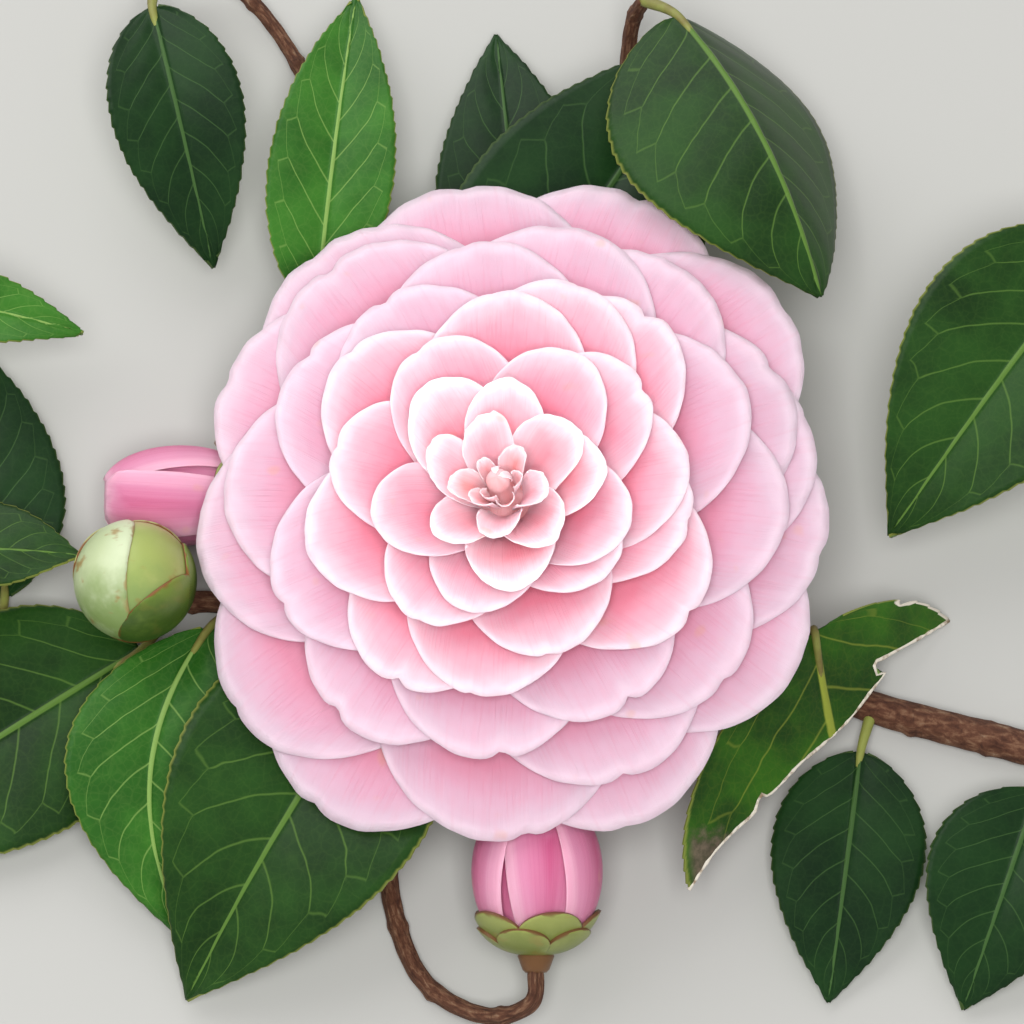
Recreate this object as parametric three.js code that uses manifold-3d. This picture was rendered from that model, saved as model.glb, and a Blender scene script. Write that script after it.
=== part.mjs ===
// A cut sprig of camellia laid on a level surface: one open formal double bloom facing up, two
// half-open blooms, a fat flower bud and leaves, on a woody twig with five side twigs.
// Millimetres, +Z up. Inside this file the middle of the open bloom is over X = 0, Y = 0 and the
// surface is Z = 0. The whole sprig is moved at the end, so that its box stands on the origin.
import * as THREE from "three";
import { mergeVertices } from "three/addons/utils/BufferGeometryUtils.js";
import Module from "manifold-3d";

const wasm = await Module();
wasm.setup();

// Driving dimensions
const BLOOM_FOOT = new THREE.Vector3(2, 1, 8); // where the main bloom's calyx stands on its twig
const BLOOM_LEAN = 7; // degrees that the main bloom leans towards -X
const PETAL_THICK = 0.8;
const LEAF_THICK = 0.8;
const JOINT_GAP = 0.3; // clear space where one piece grows from another
const CORE_SKIN = 0.5; // how far a bloom's core lies outside its outer petals' middle surface
const CALYX_THICK = 1.2;
const TWIG_SIDES = 7;

// Which way each petal of the main bloom points, in degrees, from the heart outwards
const PETAL_DIRECTIONS = [
  232, 10, 130, 293, 225, 55, 185, 345, 274, 105, 160, 228, 314, 32, 82, 7, 282,
  126, 199, 260, 337, 319, 58, 238, 116, 166, 38, 291, 5, 348, 196, 88, 266, 138,
  240, 70, 327, 50, 120, 204, 299, 146, 25, 266, 97, 236, 356, 174, 319, 77, 54,
  22, 295, 12, 185, 353, 125, 150, 327, 268, 216, 293, 40, 125, 238, 101, 70,
];
const GOLDEN_ANGLE = 137.5;
const ROOT_HANDLE = 0.45; // lengths of a petal curve's two handles, as shares of its chord
const TIP_HANDLE = 0.4;
const PETAL_ROUND = 0.72; // depth of a petal's round end, as a share of its half-width

const COLOURS = {
  bark: { color: 0x5a4030, roughness: 0.85 },
  leaf: { color: 0x2c5a22, roughness: 0.4 },
  petal: { color: 0xf2b9ca, roughness: 0.6 },
  calyx: { color: 0x8a9455, roughness: 0.6 },
  bud: { color: 0xb3c07a, roughness: 0.45 },
  deep_petal: { color: 0xd97f9f, roughness: 0.6 },
};

const sprig = new THREE.Group();
const point = (x, y, z) => new THREE.Vector3(x, y, z);
const radians = THREE.MathUtils.degToRad;

// Solids from three.js geometries, and back

function solidOf(geometry) {
  const bare = geometry.clone();
  bare.deleteAttribute("normal");
  bare.deleteAttribute("uv");
  const merged = mergeVertices(bare, 1e-4);
  return new wasm.Manifold(
    new wasm.Mesh({
      numProp: 3,
      vertProperties: merged.attributes.position.array,
      triVerts: new Uint32Array(merged.index.array),
    }),
  );
}

function geometryOf(solid) {
  const mesh = solid.getMesh();
  const positions = new Float32Array(mesh.numVert * 3);
  for (let i = 0; i < mesh.numVert; i++) {
    const start = i * mesh.numProp;
    positions.set(mesh.vertProperties.subarray(start, start + 3), i * 3);
  }
  const geometry = new THREE.BufferGeometry();
  geometry.setAttribute("position", new THREE.BufferAttribute(positions, 3));
  geometry.setIndex(new THREE.BufferAttribute(mesh.triVerts, 1));
  return geometry;
}

// The outer skin alone, so that no pocket between petals stays sealed inside
function outerSkin(solid) {
  return solid.decompose().reduce((most, piece) => (piece.volume() > most.volume() ? piece : most));
}

function addPiece(name, solid, look) {
  const mesh = new THREE.Mesh(
    geometryOf(solid),
    new THREE.MeshStandardMaterial({ metalness: 0, ...COLOURS[look] }),
  );
  mesh.geometry.computeVertexNormals();
  mesh.name = name;
  sprig.add(mesh);
}

// Moves every vertex of a geometry to place(x, y, z)
function reshape(geometry, place) {
  const positions = geometry.attributes.position;
  for (let i = 0; i < positions.count; i++) {
    const moved = place(positions.getX(i), positions.getY(i), positions.getZ(i));
    positions.setXYZ(i, moved.x, moved.y, moved.z);
  }
  return geometry;
}

// A thin closed blade: across runs from -1 to 1, along from 0 to 1, and lift is half the
// thickness up or down. across x along points to the upper face.
function blade(columns, rows, thick, place) {
  const box = new THREE.BoxGeometry(2, 1, thick, columns, rows, 1);
  return solidOf(reshape(box, (x, y, z) => place(x, y + 0.5, z)));
}

// A closed round limb along a smooth path, tapering from its start to its end. The extra
// distance swells it on all sides, its two ends too.
function limb(path, startRadius, endRadius, steps, sides = TWIG_SIDES, extra = 0) {
  const curve = new THREE.CatmullRomCurve3(path);
  const frames = curve.computeFrenetFrames(steps, false);
  const tube = new THREE.CylinderGeometry(1, 1, 1, sides, steps);
  const placed = reshape(tube, (x, y, z) => {
    const index = Math.round((0.5 - y) * steps);
    const share = index / steps;
    const radius = THREE.MathUtils.lerp(startRadius, endRadius, share) + extra;
    const beyond = index === 0 ? -extra : index === steps ? extra : 0;
    return curve
      .getPointAt(share)
      .addScaledVector(curve.getTangentAt(share), beyond)
      .addScaledVector(frames.normals[index], x * radius)
      .addScaledVector(frames.binormals[index], z * radius);
  });
  return solidOf(placed);
}

// Twigs

const TWIGS = {
  main_twig: {
    path: [
      point(84, -31.2, 2.5),
      point(70, -27.2, 2.5),
      point(50.4, -21.6, 2.4),
      point(38.9, -16.6, 2.3),
      point(20, -8, 2.3),
      point(7, -2.6, 2.7),
      point(2.8, -0.2, 4.6),
      BLOOM_FOOT.clone().add(point(0, 0, -0.8)),
    ],
    radii: [2.5, 1.9],
    steps: 14,
  },
  left_twig: {
    path: [
      point(14, -5.6, 2.4),
      point(-5, -9, 1.9),
      point(-25, -8, 1.8),
      point(-50, -6.5, 1.8),
      point(-70, -12, 1.7),
      point(-88, -6, 2.2),
      point(-94, 8, 4),
      point(-96, 22, 6.5),
      point(-94.6, 34.5, 10.5),
    ],
    radii: [1.9, 1],
    steps: 18,
    from: "main_twig",
  },
  top_twig: {
    path: [
      point(8, -3.2, 2.6),
      point(6, 8, 1.8),
      point(8, 30, 1.6),
      point(16, 56, 1.5),
      point(17, 72, 4),
      point(18, 79, 11),
      point(19.5, 80, 17.5),
    ],
    radii: [1.8, 1],
    steps: 14,
    from: "main_twig",
  },
  upper_left_twig: {
    path: [
      point(6, 10, 1.8),
      point(-8, 22, 1.6),
      point(-20, 37, 1.5),
      point(-26, 56, 1.5),
      point(-30, 73, 2),
      point(-40, 86, 5),
      point(-50, 87, 9),
      point(-52, 83.5, 12.5),
    ],
    radii: [1.5, 0.9],
    steps: 14,
    from: "top_twig",
  },
  bud_twig: {
    path: [
      point(-50, -6.5, 1.8),
      point(-52.6, -4.6, 2.8),
      point(-53.6, -3.8, 5.4),
      point(-53.4, -4.4, 8.2),
    ],
    radii: [1.4, 1.3],
    steps: 8,
    from: "left_twig",
  },
  left_bloom_twig: {
    path: [
      point(-20, -8, 1.9),
      point(-23, -3, 2.4),
      point(-27, 5, 6),
      point(-33.6, 7.5, 8.3),
    ],
    radii: [1.3, 1.2],
    steps: 8,
    from: "left_twig",
  },
  right_twig: {
    path: [
      point(77, -29.2, 2.5),
      point(85, -14, 1.8),
      point(90, 12, 1.6),
      point(91, 34, 4),
      point(88, 46, 12),
    ],
    radii: [1.7, 1],
    steps: 14,
    from: "main_twig",
  },
  low_twig: {
    path: [
      point(-14, -9, 1.9),
      point(-16, -30, 1.6),
      point(-17, -48, 1.6),
      point(-12, -62, 2),
      point(-3, -67.5, 4.5),
      point(3.2, -66, 8),
      point(3.7, -61.4, 9.4),
    ],
    radii: [1.6, 1.1],
    steps: 14,
    from: "left_twig",
  },
};

function twigSolid(twig, extra = 0) {
  const [start, end] = twig.radii;
  return limb(twig.path, start, end, twig.steps, TWIG_SIDES, extra);
}

function buildTwigs() {
  for (const [name, twig] of Object.entries(TWIGS)) {
    let solid = twigSolid(twig);
    if (twig.from) solid = solid.subtract(twigSolid(TWIGS[twig.from], JOINT_GAP));
    addPiece(name, solid, "bark");
  }
}

// Leaves

// The half-width of a leaf at a share of its length, as a share of its largest half-width
const LEAF_TIP_TAPER = 1;
const LEAF_CURL = 0.1; // how far a blade's edges bend down

function leafWidth(share, roundness) {
  const widest = roundness / (roundness + LEAF_TIP_TAPER);
  const form = (x) => x ** roundness * (1 - x) ** LEAF_TIP_TAPER;
  return form(share) / form(widest);
}

// A leaf's own axes: along its midrib, across its blade and up from its face
function leafAxes(leaf) {
  const along = leaf.tip.clone().sub(leaf.base).normalize();
  const level = new THREE.Vector3().crossVectors(along, point(0, 0, 1)).normalize();
  const across = level.applyAxisAngle(along, radians(leaf.roll ?? 0));
  const up = new THREE.Vector3().crossVectors(across, along);
  return { across, up };
}

function leafPoint(leaf, axes, side, share, lift) {
  const arch = 4 * share * (1 - share);
  const half = leaf.width * leafWidth(share, leaf.roundness ?? 0.65);
  const out = side * half;
  const fold = radians(leaf.fold ?? 14);
  const rise = Math.abs(out) * Math.sin(fold) - (LEAF_CURL * out * out) / leaf.width;
  return leaf.base
    .clone()
    .lerp(leaf.tip, share)
    .addScaledVector(axes.up, arch * leaf.bow + rise + lift)
    .addScaledVector(axes.across, arch * (leaf.swing ?? 0) + out * Math.cos(fold));
}

const LEAVES = {
  leaf_top_right: {
    twig: "top_twig",
    stem: point(19.4, 80, 17),
    base: point(24, 76, 21.8),
    tip: point(44, 31.6, 26.6),
    width: 19,
    bow: 5,
    roll: -26,
    fold: -26,
  },
  leaf_top: {
    twig: "top_twig",
    stem: point(6.2, 14, 1.8),
    base: point(-4, 21, 11),
    tip: point(30, 77, 9),
    width: 18.5,
    bow: 5,
    roll: -4,
  },
  leaf_top_back: {
    twig: "top_twig",
    stem: point(7.6, 27, 1.7),
    base: point(3, 29, 4),
    tip: point(-2, 80, 2.5),
    width: 12,
    bow: 3,
    fold: 8,
  },
  leaf_upper_left: {
    twig: "upper_left_twig",
    stem: point(-19.6, 36.5, 1.5),
    base: point(-28, 35, 8),
    tip: point(-22.5, 84, 8),
    width: 9.5,
    bow: 5,
  },
  leaf_far_upper_left: {
    twig: "upper_left_twig",
    stem: point(-51.7, 84, 12),
    base: point(-52, 80, 14.5),
    tip: point(-42.9, 42, 8),
    width: 10,
    bow: 4,
  },
  leaf_right: {
    twig: "right_twig",
    stem: point(88, 45.6, 11.5),
    base: point(86, 43.5, 17),
    tip: point(54, 0.2, 13),
    width: 16.5,
    bow: 5,
  },
  leaf_torn: {
    twig: "main_twig",
    stem: point(43, -18.4, 2.4),
    base: point(43, -14.4, 16.3),
    tip: point(61.3, -60.5, -27), // where the whole leaf would end
    width: 29,
    bow: 2.2,
    swing: 4.7,
    roll: -25,
    roundness: 0.52,
    fold: 2,
    tear: [0.178, 0.235, 0.36],
  },
  leaf_lower_right: {
    twig: "main_twig",
    stem: point(52, -22, 2.4),
    base: point(50, -29, 4),
    tip: point(45, -65, 2),
    width: 11,
    bow: 2,
    fold: 6,
  },
  leaf_far_right: {
    twig: "main_twig",
    stem: point(76, -29, 2.5),
    base: point(75, -35, 5),
    tip: point(64, -66, 2),
    width: 12,
    bow: 4,
  },
  leaf_bottom: {
    twig: "left_twig",
    stem: point(-10, -9, 1.9),
    base: point(-15, -15, 10),
    tip: point(-45.5, -65, 3),
    width: 19.5,
    bow: 7,
    roll: 4,
  },
  leaf_lower_left: {
    twig: "left_twig",
    stem: point(-38, -7.2, 1.8),
    base: point(-42.6, -12, 9),
    tip: point(-45, -57, 2.5),
    width: 12.5,
    bow: 4,
    swing: 7,
    fold: 8,
  },
  leaf_left_low: {
    twig: "left_twig",
    stem: point(-48, -6.6, 1.8),
    base: point(-52.5, -14, 4.5),
    tip: point(-99, -44, 2),
    width: 17,
    bow: 1,
    fold: 8,
  },
  leaf_left_upright: {
    twig: "left_twig",
    stem: point(-91.5, 1.5, 3.4),
    base: point(-89.5, -2, 12.5),
    tip: point(-60.5, -2.4, 11.5),
    width: 9.5,
    bow: 1,
    roll: -30,
  },
  leaf_left_back: {
    twig: "left_twig",
    stem: point(-74, -11.4, 1.8),
    base: point(-72.5, -6, 2.6),
    tip: point(-79, 33, 4),
    width: 11,
    bow: 0.5,
    fold: 5,
  },
  leaf_left_small: {
    twig: "left_twig",
    stem: point(-94.7, 34, 10.2),
    base: point(-91.5, 37, 13),
    tip: point(-61.2, 30.6, 13),
    width: 6,
    bow: 2,
  },
};
const PETIOLE_RADII = [0.95, 0.65];
const PETIOLE_REACH = 0.12; // share of the blade that the stalk runs into

function leafSolid(leaf) {
  const axes = leafAxes(leaf);
  const [before, middle, after] = leaf.tear ?? [1, 1, 1];
  const [first, last] = [0.03, 0.975];
  const surface = blade(4, 6, LEAF_THICK, (side, along, lift) => {
    const torn = THREE.MathUtils.lerp(middle, side < 0 ? before : after, Math.abs(side));
    return leafPoint(leaf, axes, side, THREE.MathUtils.lerp(first, last, along) * torn, lift);
  });
  const inBlade = leafPoint(leaf, axes, 0, PETIOLE_REACH, 0);
  const stalk = limb([leaf.stem, leaf.base, inBlade], ...PETIOLE_RADII, 4, 5);
  return surface.add(stalk).subtract(twigSolid(TWIGS[leaf.twig], JOINT_GAP));
}

function buildLeaves() {
  for (const [name, leaf] of Object.entries(LEAVES)) addPiece(name, leafSolid(leaf), "leaf");
}

// Petals. A petal lies on a surface of revolution round the bloom's axis, so that each one
// nests under the last. Its outline is a half ellipse on a narrowing claw.

// A profile curve from a petal's root to its tip, as distance from the axis and height
function petalCurve(shape) {
  const pitch = (degrees) => new THREE.Vector2(Math.cos(radians(degrees)), Math.sin(radians(degrees)));
  const chord = shape.root.distanceTo(shape.tip);
  return new THREE.CubicBezierCurve(
    shape.root,
    shape.root.clone().addScaledVector(pitch(shape.rootPitch), ROOT_HANDLE * chord),
    shape.tip.clone().addScaledVector(pitch(shape.tipPitch), -TIP_HANDLE * chord),
    shape.tip,
  );
}

function petalPoint(petal, side, along, lift) {
  const bend = (Math.PI / 2) * side;
  const rim = 1 - ((1 - Math.cos(bend)) * petal.roundLength) / petal.curve.getLength();
  const share = Math.min(1, along * rim);
  const at = petal.curve.getPoint(share);
  const tangent = petal.curve.getTangent(share);
  const claw = 0.3 + 0.7 * Math.sin((Math.PI / 2) * Math.min(1, along * 1.1));
  const turn = radians(petal.direction) - (Math.sin(bend) * claw * petal.width) / (at.x + 2);
  const out = at.x - tangent.y * lift;
  return point(out * Math.cos(turn), out * Math.sin(turn), at.y + tangent.x * lift);
}

function petalSolid(petal, columns, rows, start) {
  return blade(columns, rows, PETAL_THICK, (side, along, lift) =>
    petalPoint(petal, side, THREE.MathUtils.lerp(start, 1, along), lift),
  );
}

// A solid of revolution round +Z, from points given as distance from the axis and height
function turned(profile, segments) {
  return solidOf(new THREE.LatheGeometry(profile, segments).rotateX(Math.PI / 2));
}

// Points along part of a petal's profile, moved out from its underside by a distance
function profilePoints(curve, lastShare, steps, distance) {
  const points = [];
  for (let i = 0; i <= steps; i++) {
    const share = (lastShare * i) / steps;
    const under = curve.getTangent(share).rotateAround(new THREE.Vector2(), -Math.PI / 2);
    points.push(curve.getPoint(share).addScaledVector(under, distance));
  }
  return points;
}

// The cup of sepals that holds a bloom: a skin that follows the underside of its outer petals
function calyxCup(curve, lastShare, footRadius) {
  const inner = profilePoints(curve, lastShare, 5, CORE_SKIN + 2 * JOINT_GAP);
  const outer = profilePoints(curve, lastShare, 5, CORE_SKIN + 2 * JOINT_GAP + CALYX_THICK);
  const seatHeight = inner[0].y;
  const footHeight = seatHeight - CALYX_THICK;
  const foot = [new THREE.Vector2(0, footHeight), new THREE.Vector2(footRadius, footHeight)];
  const spread = outer.filter((at) => at.x > footRadius && at.y > footHeight);
  const rim = inner.filter((at) => at.y >= seatHeight).reverse();
  return turned([...foot, ...spread, ...rim, new THREE.Vector2(0, seatHeight)], 16);
}

// Turns +Z to an axis and moves the origin to a foot
function standing(foot, axis) {
  const turn = new THREE.Quaternion().setFromUnitVectors(point(0, 0, 1), axis.clone().normalize());
  return new THREE.Matrix4().compose(foot, turn, point(1, 1, 1)).elements;
}

// The main bloom, measured from its foot: how far the nth petal's tip reaches from the axis,
// how high the tips at that reach stand, and how steeply they point
const reachOf = (n) => 1.034 * n - 0.004 * n * n;
const domeHeight = (reach) => 34 - 5 * Math.exp(-((reach / 8) ** 2)) - 0.0085 * reach * reach;
const tipPitch = (reach) => 100 * Math.exp(-reach / 15) - 0.5 * reach;
const halfWidth = (reach) => 0.56 * reach - 0.0035 * reach * reach + 0.6;

function mainPetal(number) {
  const reach = Math.max(3.2 + 0.35 * number, reachOf(number));
  const width = halfWidth(reach);
  return {
    direction: PETAL_DIRECTIONS[number - 1],
    width,
    roundLength: PETAL_ROUND * width,
    curve: petalCurve({
      root: new THREE.Vector2(1 + 0.08 * reach, 21 - 0.37 * reach),
      tip: new THREE.Vector2(reach, domeHeight(reach)),
      rootPitch: 85 - 0.9 * reach,
      tipPitch: tipPitch(reach),
    }),
  };
}

const CORE_REACH = 35; // radius of the solid middle that the petals stand out of
const CORE_DEPTH = 2.6; // how far it lies under the petals' tips
const UNDERSIDE_SHARE = 0.72; // share of the last petal that the middle's underside follows
const LAST_PETAL = PETAL_DIRECTIONS.length;

function bloomCore() {
  const underside = profilePoints(mainPetal(LAST_PETAL).curve, UNDERSIDE_SHARE, 6, CORE_SKIN);
  const profile = [new THREE.Vector2(0, underside[0].y)];
  profile.push(...underside.filter((at) => at.x < CORE_REACH));
  for (let reach = CORE_REACH; reach > 0; reach -= 5) {
    profile.push(new THREE.Vector2(reach, domeHeight(reach) - CORE_DEPTH));
  }
  profile.push(new THREE.Vector2(0, domeHeight(0) - CORE_DEPTH));
  return turned(profile, 24);
}

function mainBloom() {
  const heart = new THREE.SphereGeometry(2, 8, 6).translate(0, 0, domeHeight(0) - 1.2);
  const solids = [bloomCore(), solidOf(heart)];
  for (let number = 1; number <= LAST_PETAL; number++) {
    const small = number < 10;
    solids.push(petalSolid(mainPetal(number), small ? 3 : 5, 2, small ? 0.35 : 0.5));
  }
  return outerSkin(wasm.Manifold.union(solids));
}

function buildMainBloom() {
  const lean = radians(BLOOM_LEAN);
  const stand = standing(BLOOM_FOOT, point(-Math.sin(lean), 0, Math.cos(lean)));
  const calyx = calyxCup(mainPetal(LAST_PETAL).curve, 0.3, 3.2);
  addPiece("main_bloom", mainBloom().transform(stand), "petal");
  const twig = twigSolid(TWIGS.main_twig, JOINT_GAP);
  addPiece("main_calyx", calyx.transform(stand).subtract(twig), "calyx");
}

// Blooms that have only begun to open, and the bud, are closed round their tips

const CLOSED_FORMS = {
  left_bloom: {
    foot: point(-36.5, 7.6, 8.4),
    axis: point(-1, -0.02, 0.03),
    length: 21,
    radius: 7.9,
    mouth: 3,
    petals: 7,
    firstPetal: 40,
    petalSpread: 55,
    look: "deep_petal",
    calyx: true,
    twig: "left_bloom_twig",
  },
  low_bloom: {
    foot: point(3.7, -58.5, 9.6),
    axis: point(0, 0.95, 0.25),
    length: 19,
    radius: 9.3,
    mouth: 5,
    petals: 7,
    firstPetal: 40,
    petalSpread: 55,
    look: "deep_petal",
    calyx: true,
    twig: "low_twig",
  },
  bud: {
    foot: point(-53.3, -4.8, 8.8),
    axis: point(0.04, -0.28, 0.93),
    length: 20,
    radius: 9.1,
    mouth: 0.9,
    petals: 5,
    firstPetal: 40,
    petalSpread: 75,
    look: "bud",
    twig: "bud_twig",
  },
};

// The profile of a closed form's petal, at a share of the form's full breadth
function closedCurve(form, breadth) {
  const root = 0.15 * form.radius;
  const tip = form.mouth * breadth;
  const bulge = (form.radius * breadth - 0.125 * (root + tip)) / 0.75;
  return new THREE.CubicBezierCurve(
    new THREE.Vector2(root, 0),
    new THREE.Vector2(bulge, 0.02 * form.length),
    new THREE.Vector2(bulge, 0.9 * form.length),
    new THREE.Vector2(tip, form.length),
  );
}

// How far out the topmost petal stands in a direction, as a share of the form's full breadth
function breadthAt(form, direction, share) {
  const reach = form.petalSpread * Math.cos((Math.PI / 2) * share ** 3);
  let breadth = 0.86;
  for (let k = 0; k < form.petals; k++) {
    const away = direction - radians(form.firstPetal + GOLDEN_ANGLE * k);
    const covers = Math.abs(Math.atan2(Math.sin(away), Math.cos(away))) < radians(reach);
    if (covers) breadth = 0.88 + (0.12 * k) / (form.petals - 1);
  }
  return breadth;
}

// One closed skin, stepped where a petal laps over the next, with a shallow mouth at its tip
function closedForm(form) {
  const rows = 9;
  const skin = profilePoints(closedCurve(form, 1), 1, rows, 0);
  const floor = new THREE.Vector2(0, form.length - 0.5 * form.mouth);
  const lathe = new THREE.LatheGeometry([new THREE.Vector2(0, 0), ...skin, floor], 22);
  return solidOf(
    reshape(lathe.rotateX(Math.PI / 2), (x, y, z) => {
      const breadth = breadthAt(form, Math.atan2(y, x), z / form.length);
      return point(x * breadth, y * breadth, z);
    }),
  );
}

function buildClosedForms() {
  for (const [name, form] of Object.entries(CLOSED_FORMS)) {
    const stand = standing(form.foot, form.axis);
    const twig = twigSolid(TWIGS[form.twig], JOINT_GAP);
    const body = closedForm(form).transform(stand);
    if (form.calyx) {
      const cup = calyxCup(closedCurve(form, 1), 0.25, 2.2).transform(stand);
      addPiece(`${name}_calyx`, cup.subtract(twig), "calyx");
    }
    addPiece(name, body.subtract(twig), form.look);
  }
}

buildTwigs();
buildLeaves();
buildMainBloom();
buildClosedForms();

const box = new THREE.Box3().setFromObject(sprig);
const middle = box.getCenter(new THREE.Vector3());
sprig.position.set(-middle.x, -middle.y, -box.min.z);
export default sprig;
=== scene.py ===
# The looks of a cut camellia sprig: fine petals, leaves, bud scales and bark that take the
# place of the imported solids, with a pale floor, soft light and a camera that looks down.
# Lengths in this file are millimetres in the sprig's own layout, in which the open bloom's
# middle is over X = 0, Y = 0. They are moved to the frame and turned to metres on the way out.
import math

import bpy
import numpy as np
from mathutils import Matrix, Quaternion, Vector


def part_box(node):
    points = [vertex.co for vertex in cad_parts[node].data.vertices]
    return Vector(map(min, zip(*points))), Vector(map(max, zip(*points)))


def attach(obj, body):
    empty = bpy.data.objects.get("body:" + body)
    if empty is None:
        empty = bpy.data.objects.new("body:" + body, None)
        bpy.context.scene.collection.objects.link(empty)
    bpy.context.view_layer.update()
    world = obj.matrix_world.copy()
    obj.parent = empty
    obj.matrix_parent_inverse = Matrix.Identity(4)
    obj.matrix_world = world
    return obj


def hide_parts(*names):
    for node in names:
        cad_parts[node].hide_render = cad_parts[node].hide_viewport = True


MM = 0.001
BODY = "root"
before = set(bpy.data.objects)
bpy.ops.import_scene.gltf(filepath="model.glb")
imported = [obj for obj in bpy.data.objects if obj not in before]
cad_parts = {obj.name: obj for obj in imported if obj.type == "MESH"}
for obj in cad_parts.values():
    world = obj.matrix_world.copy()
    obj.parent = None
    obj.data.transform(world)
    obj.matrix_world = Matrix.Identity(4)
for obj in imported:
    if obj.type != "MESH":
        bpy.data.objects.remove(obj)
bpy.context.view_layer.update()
rng = np.random.default_rng(7)

# Driving dimensions, as in the part's source
BLOOM_FOOT = np.array([2.0, 1.0, 8.0])
BLOOM_LEAN = math.radians(7)
GOLDEN_ANGLE = 137.5
PETAL_THICK = 0.4
PETAL_RIM_THICK = 0.1
PETAL_TAPER = 5  # a petal thins out to its rim over this length
PETAL_DIRECTIONS = [
    232, 10, 130, 293, 225, 55, 185, 345, 274, 105, 160, 228, 314, 32, 82, 7, 282,
    126, 199, 260, 337, 319, 58, 238, 116, 166, 38, 291, 5, 348, 196, 88, 266, 138,
    240, 70, 327, 50, 120, 204, 299, 146, 25, 266, 97, 236, 356, 174, 319, 77, 54,
    22, 295, 12, 185, 353, 125, 150, 327, 268, 216, 293, 40, 125, 238, 101, 70,
]
HEART_OFFSET = np.array([-0.1, 0.7, 0])  # the heart lies a little off the bloom's middle
RIM_REACH = 40  # the V of a petal, sepal or scale falls from 1 at its rim to 0 this far from it

# How fine the meshes are
PETAL_GRID = (56, 24)
LEAF_GRID = (36, 110)
SCALE_GRID = (26, 72)
TWIG_SIDES = 24
TURNED_SIDES = 32
CAP_HOLE = 0.02  # the hole in a tube's cap, as a share of the tube
FLOOR_CLEAR = 0.03  # what lies on the floor is pressed flat this far above it

# How each petal is pressed under the ones inside it, on a level grid of cells
NEST_REACH = 55
NEST_CELL = 0.5
NEST_GAP = 0.3
NEST_MOST = 1.2

# The camera looks down from the front, from far enough to keep the view flat
VIEW_ELEVATION = 74
VIEW_DISTANCE = 900
VIEW_WIDTH = 143.4
VIEW_CENTRE = np.array([0.35, -0.4, 27.9])


# Meshes from grids of points


def unit(vectors):
    lengths = np.linalg.norm(vectors, axis=-1, keepdims=True)
    return vectors / np.maximum(lengths, 1e-9)


def grid_normals(points):
    """The unit normal at each point of a (rows, columns, 3) grid, on the side of row x column."""
    down = np.gradient(points, axis=0)
    along = np.gradient(points, axis=1)
    return unit(np.cross(along, down))


def stacked(*parts):
    """Values side by side along a last axis, each repeated to the shape that they share."""
    return np.stack(np.broadcast_arrays(*parts), axis=-1)


def around_axis(out, turn, up):
    """Points that stand out from the Z axis by a distance, turned about it, at a height."""
    return stacked(out * np.cos(turn), out * np.sin(turn), up)


def full_turn(count):
    return np.linspace(0, 2 * math.pi, count, endpoint=False)


def rim_uvs(u, from_rim):
    """UVs whose V tells how far each point is from the rim."""
    return stacked(u, 1 - from_rim / RIM_REACH)


def new_object(name, data):
    thing = bpy.data.objects.new(name, data)
    bpy.context.scene.collection.objects.link(thing)
    return thing


class Piece:
    """Vertices, faces and their UVs and material numbers, gathered and made into one object."""

    def __init__(self):
        self.points = []
        self.uvs = []
        self.faces = []
        self.slots = []
        self.smooth = []
        self.count = 0

    def add_faces(self, faces, slot, smooth):
        self.faces.append(faces)
        self.slots.append(np.full(len(faces), slot))
        self.smooth.append(np.full(len(faces), smooth))

    def add_grid(self, points, uvs, slot=0, flip=False, closed=False):
        """A (rows, columns, 3) grid of quads. A closed one joins its last column to its first."""
        rows, columns = points.shape[:2]
        numbers = np.arange(rows * columns).reshape(rows, columns) + self.count
        if closed:
            numbers = np.concatenate([numbers, numbers[:, :1]], axis=1)
        corners = [numbers[:-1, :-1], numbers[:-1, 1:], numbers[1:, 1:], numbers[1:, :-1]]
        faces = np.stack([corner.ravel() for corner in corners], axis=1)
        self.add_faces(faces[:, ::-1] if flip else faces, slot, smooth=True)
        self.points.append(points.reshape(-1, 3))
        self.uvs.append(uvs.reshape(-1, 2))
        self.count += rows * columns

    def add_sheet(self, points, uvs, thick, slots=(0, 0)):
        """A closed sheet with a crisp rim round a grid; thick is a number or one for each point."""
        rows, columns = points.shape[:2]
        numbers = np.arange(rows * columns).reshape(rows, columns) + self.count
        lift = grid_normals(points) * (np.asarray(thick, float) * 0.5)[..., None]
        self.add_grid(points + lift, uvs, slots[0])
        self.add_grid(points - lift, uvs, slots[1], flip=True)
        inner = numbers[1:-1]
        rim = np.concatenate([numbers[0], inner[:, -1], numbers[-1, ::-1], inner[::-1, 0]])
        under = rim + rows * columns
        faces = np.stack([np.roll(rim, -1), rim, under, np.roll(under, -1)], axis=1)
        self.add_faces(faces, slots[0], smooth=False)

    def build(self, name, materials, replaces):
        points = (np.concatenate(self.points) + shift) * MM
        points[:, 2] = np.maximum(points[:, 2], FLOOR_CLEAR * MM)
        faces = np.concatenate(self.faces)
        mesh = bpy.data.meshes.new(name)
        mesh.from_pydata(points.tolist(), [], faces.tolist())
        layer = mesh.uv_layers.new(name="Form")
        loops = np.zeros(len(mesh.loops), int)
        mesh.loops.foreach_get("vertex_index", loops)
        layer.data.foreach_set("uv", np.concatenate(self.uvs)[loops].ravel())
        for material in materials:
            mesh.materials.append(material)
        mesh.polygons.foreach_set("material_index", np.concatenate(self.slots))
        mesh.polygons.foreach_set("use_smooth", np.concatenate(self.smooth))
        mesh.update()
        thing = new_object(name, mesh)
        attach(thing, BODY)
        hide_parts(replaces)


# Curves


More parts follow.
